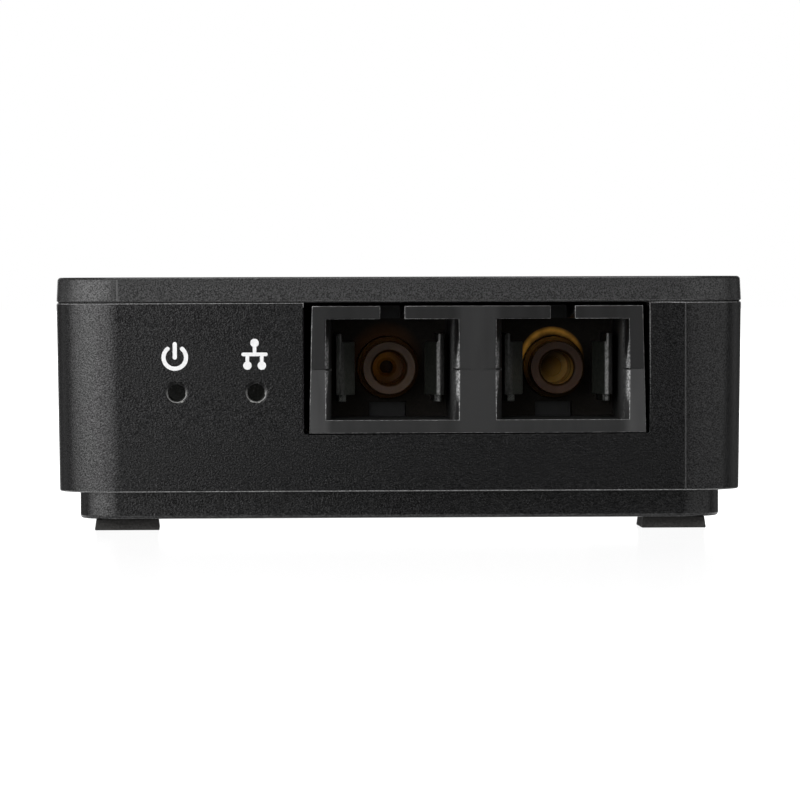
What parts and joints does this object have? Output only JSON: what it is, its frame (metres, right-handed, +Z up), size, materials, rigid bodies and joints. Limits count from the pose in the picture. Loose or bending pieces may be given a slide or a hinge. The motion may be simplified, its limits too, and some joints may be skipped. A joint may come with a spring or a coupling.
{
  "type": "usb fiber ethernet adapter",
  "caption": "Small black plastic box with a duplex push-in optical port and indicator light holes in front, and a mini bus socket behind, joining a fibre network to a computer.",
  "frame": {"origin": "on the surface that the pads stand on, under the middle of the case", "axes": "+X to the right seen from the port side, +Y from the ports to the back, +Z up"},
  "size_m": [0.0516, 0.061, 0.0189],
  "materials": {
    "case_plastic": "fine moulded texture",
    "port_plastic": "satin moulded",
    "clip_plastic": "satin moulded",
    "barrel_amber": "clear amber resin",
    "pad_rubber": "matte",
    "board_green": "solder mask",
    "can_metal": "nickel plated",
    "lead_tin": "tinned",
    "contact_gold": "gold flash",
    "socket_plastic": "moulded",
    "chip_black": "moulded epoxy",
    "crystal_metal": "plated lid",
    "capacitor_yellow": "moulded epoxy",
    "ferrite_grey": "moulded powder",
    "passive_tan": "fired ceramic",
    "light_resin": "dark tinted resin",
    "sign_white": "pad-printed ink"
  },
  "bodies": {
    "root": {"top_cover": "case_plastic", "lower_case": "case_plastic", "port_shell_upper": "port_plastic", "port_shell_lower": "port_plastic", "latch_clip_left": "clip_plastic", "latch_clip_right": "clip_plastic", "transmit_barrel": "barrel_amber", "receive_barrel": "barrel_amber", "foot_front_left": "pad_rubber", "foot_front_right": "pad_rubber", "foot_rear_left": "pad_rubber", "foot_rear_right": "pad_rubber", "main_board": "board_green", "optic_board": "board_green", "transmit_can": "can_metal", "receive_can": "can_metal", "socket_shell": "can_metal", "optic_leads": "lead_tin", "optic_pins": "lead_tin", "light_leads": "lead_tin", "chip_leads": "lead_tin", "socket_contacts": "contact_gold", "socket_tongue": "socket_plastic", "optic_chips": "chip_black", "controller_chip": "chip_black", "memory_chip": "chip_black", "voltage_regulator": "chip_black", "clock_crystal": "crystal_metal", "filter_capacitors": "capacitor_yellow", "power_inductors": "ferrite_grey", "chip_passives": "passive_tan", "power_light": "light_resin", "link_light": "light_resin"}
  },
  "joints": []
}
